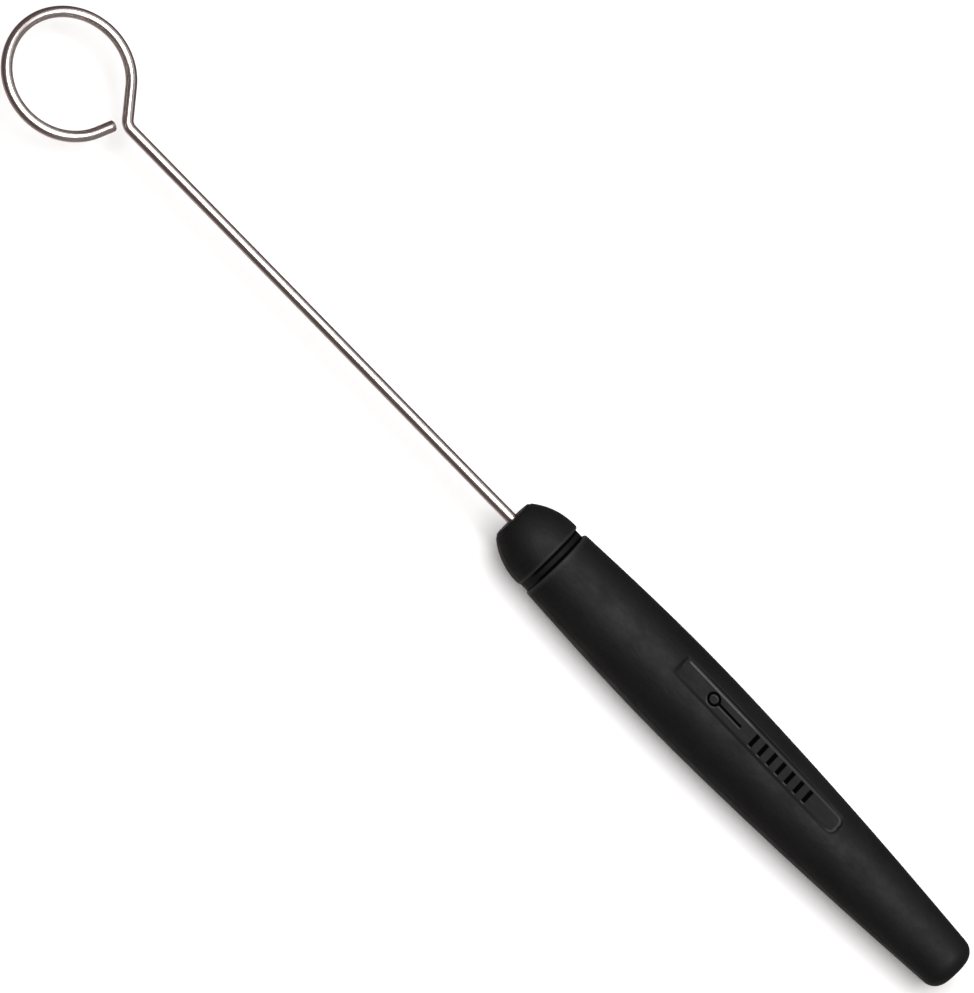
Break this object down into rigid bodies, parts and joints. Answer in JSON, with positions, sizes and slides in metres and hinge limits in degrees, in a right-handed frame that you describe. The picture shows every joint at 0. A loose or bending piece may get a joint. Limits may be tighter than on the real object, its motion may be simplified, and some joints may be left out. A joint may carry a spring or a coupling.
{
  "type": "ring dipping tool",
  "caption": "Straight steel wire bent into a small open loop at one end, held in a tapered round black plastic handle with a blunt nose, a neck groove and a sunk panel on top.",
  "frame": {"origin": "on the table under the handle's axis, halfway along the tool's whole length", "axes": "tool lying flat: loop towards -X, butt towards +X, the handle's axis and the shaft in the plane y = 0, the loop's plane level and the sunk panel facing +Z; the loop's centre is 0.9 mm to -Y of the shaft, so the box's centre is too"},
  "size_m": [0.205, 0.0218, 0.0145],
  "materials": {
    "wire_steel": "bright drawn stainless wire",
    "nose_plastic": "satin black moulded",
    "grip_plastic": "satin black moulded"
  },
  "bodies": {
    "root": {"loop_wire": "wire_steel", "nose_cap": "nose_plastic", "grip": "grip_plastic"}
  },
  "joints": []
}
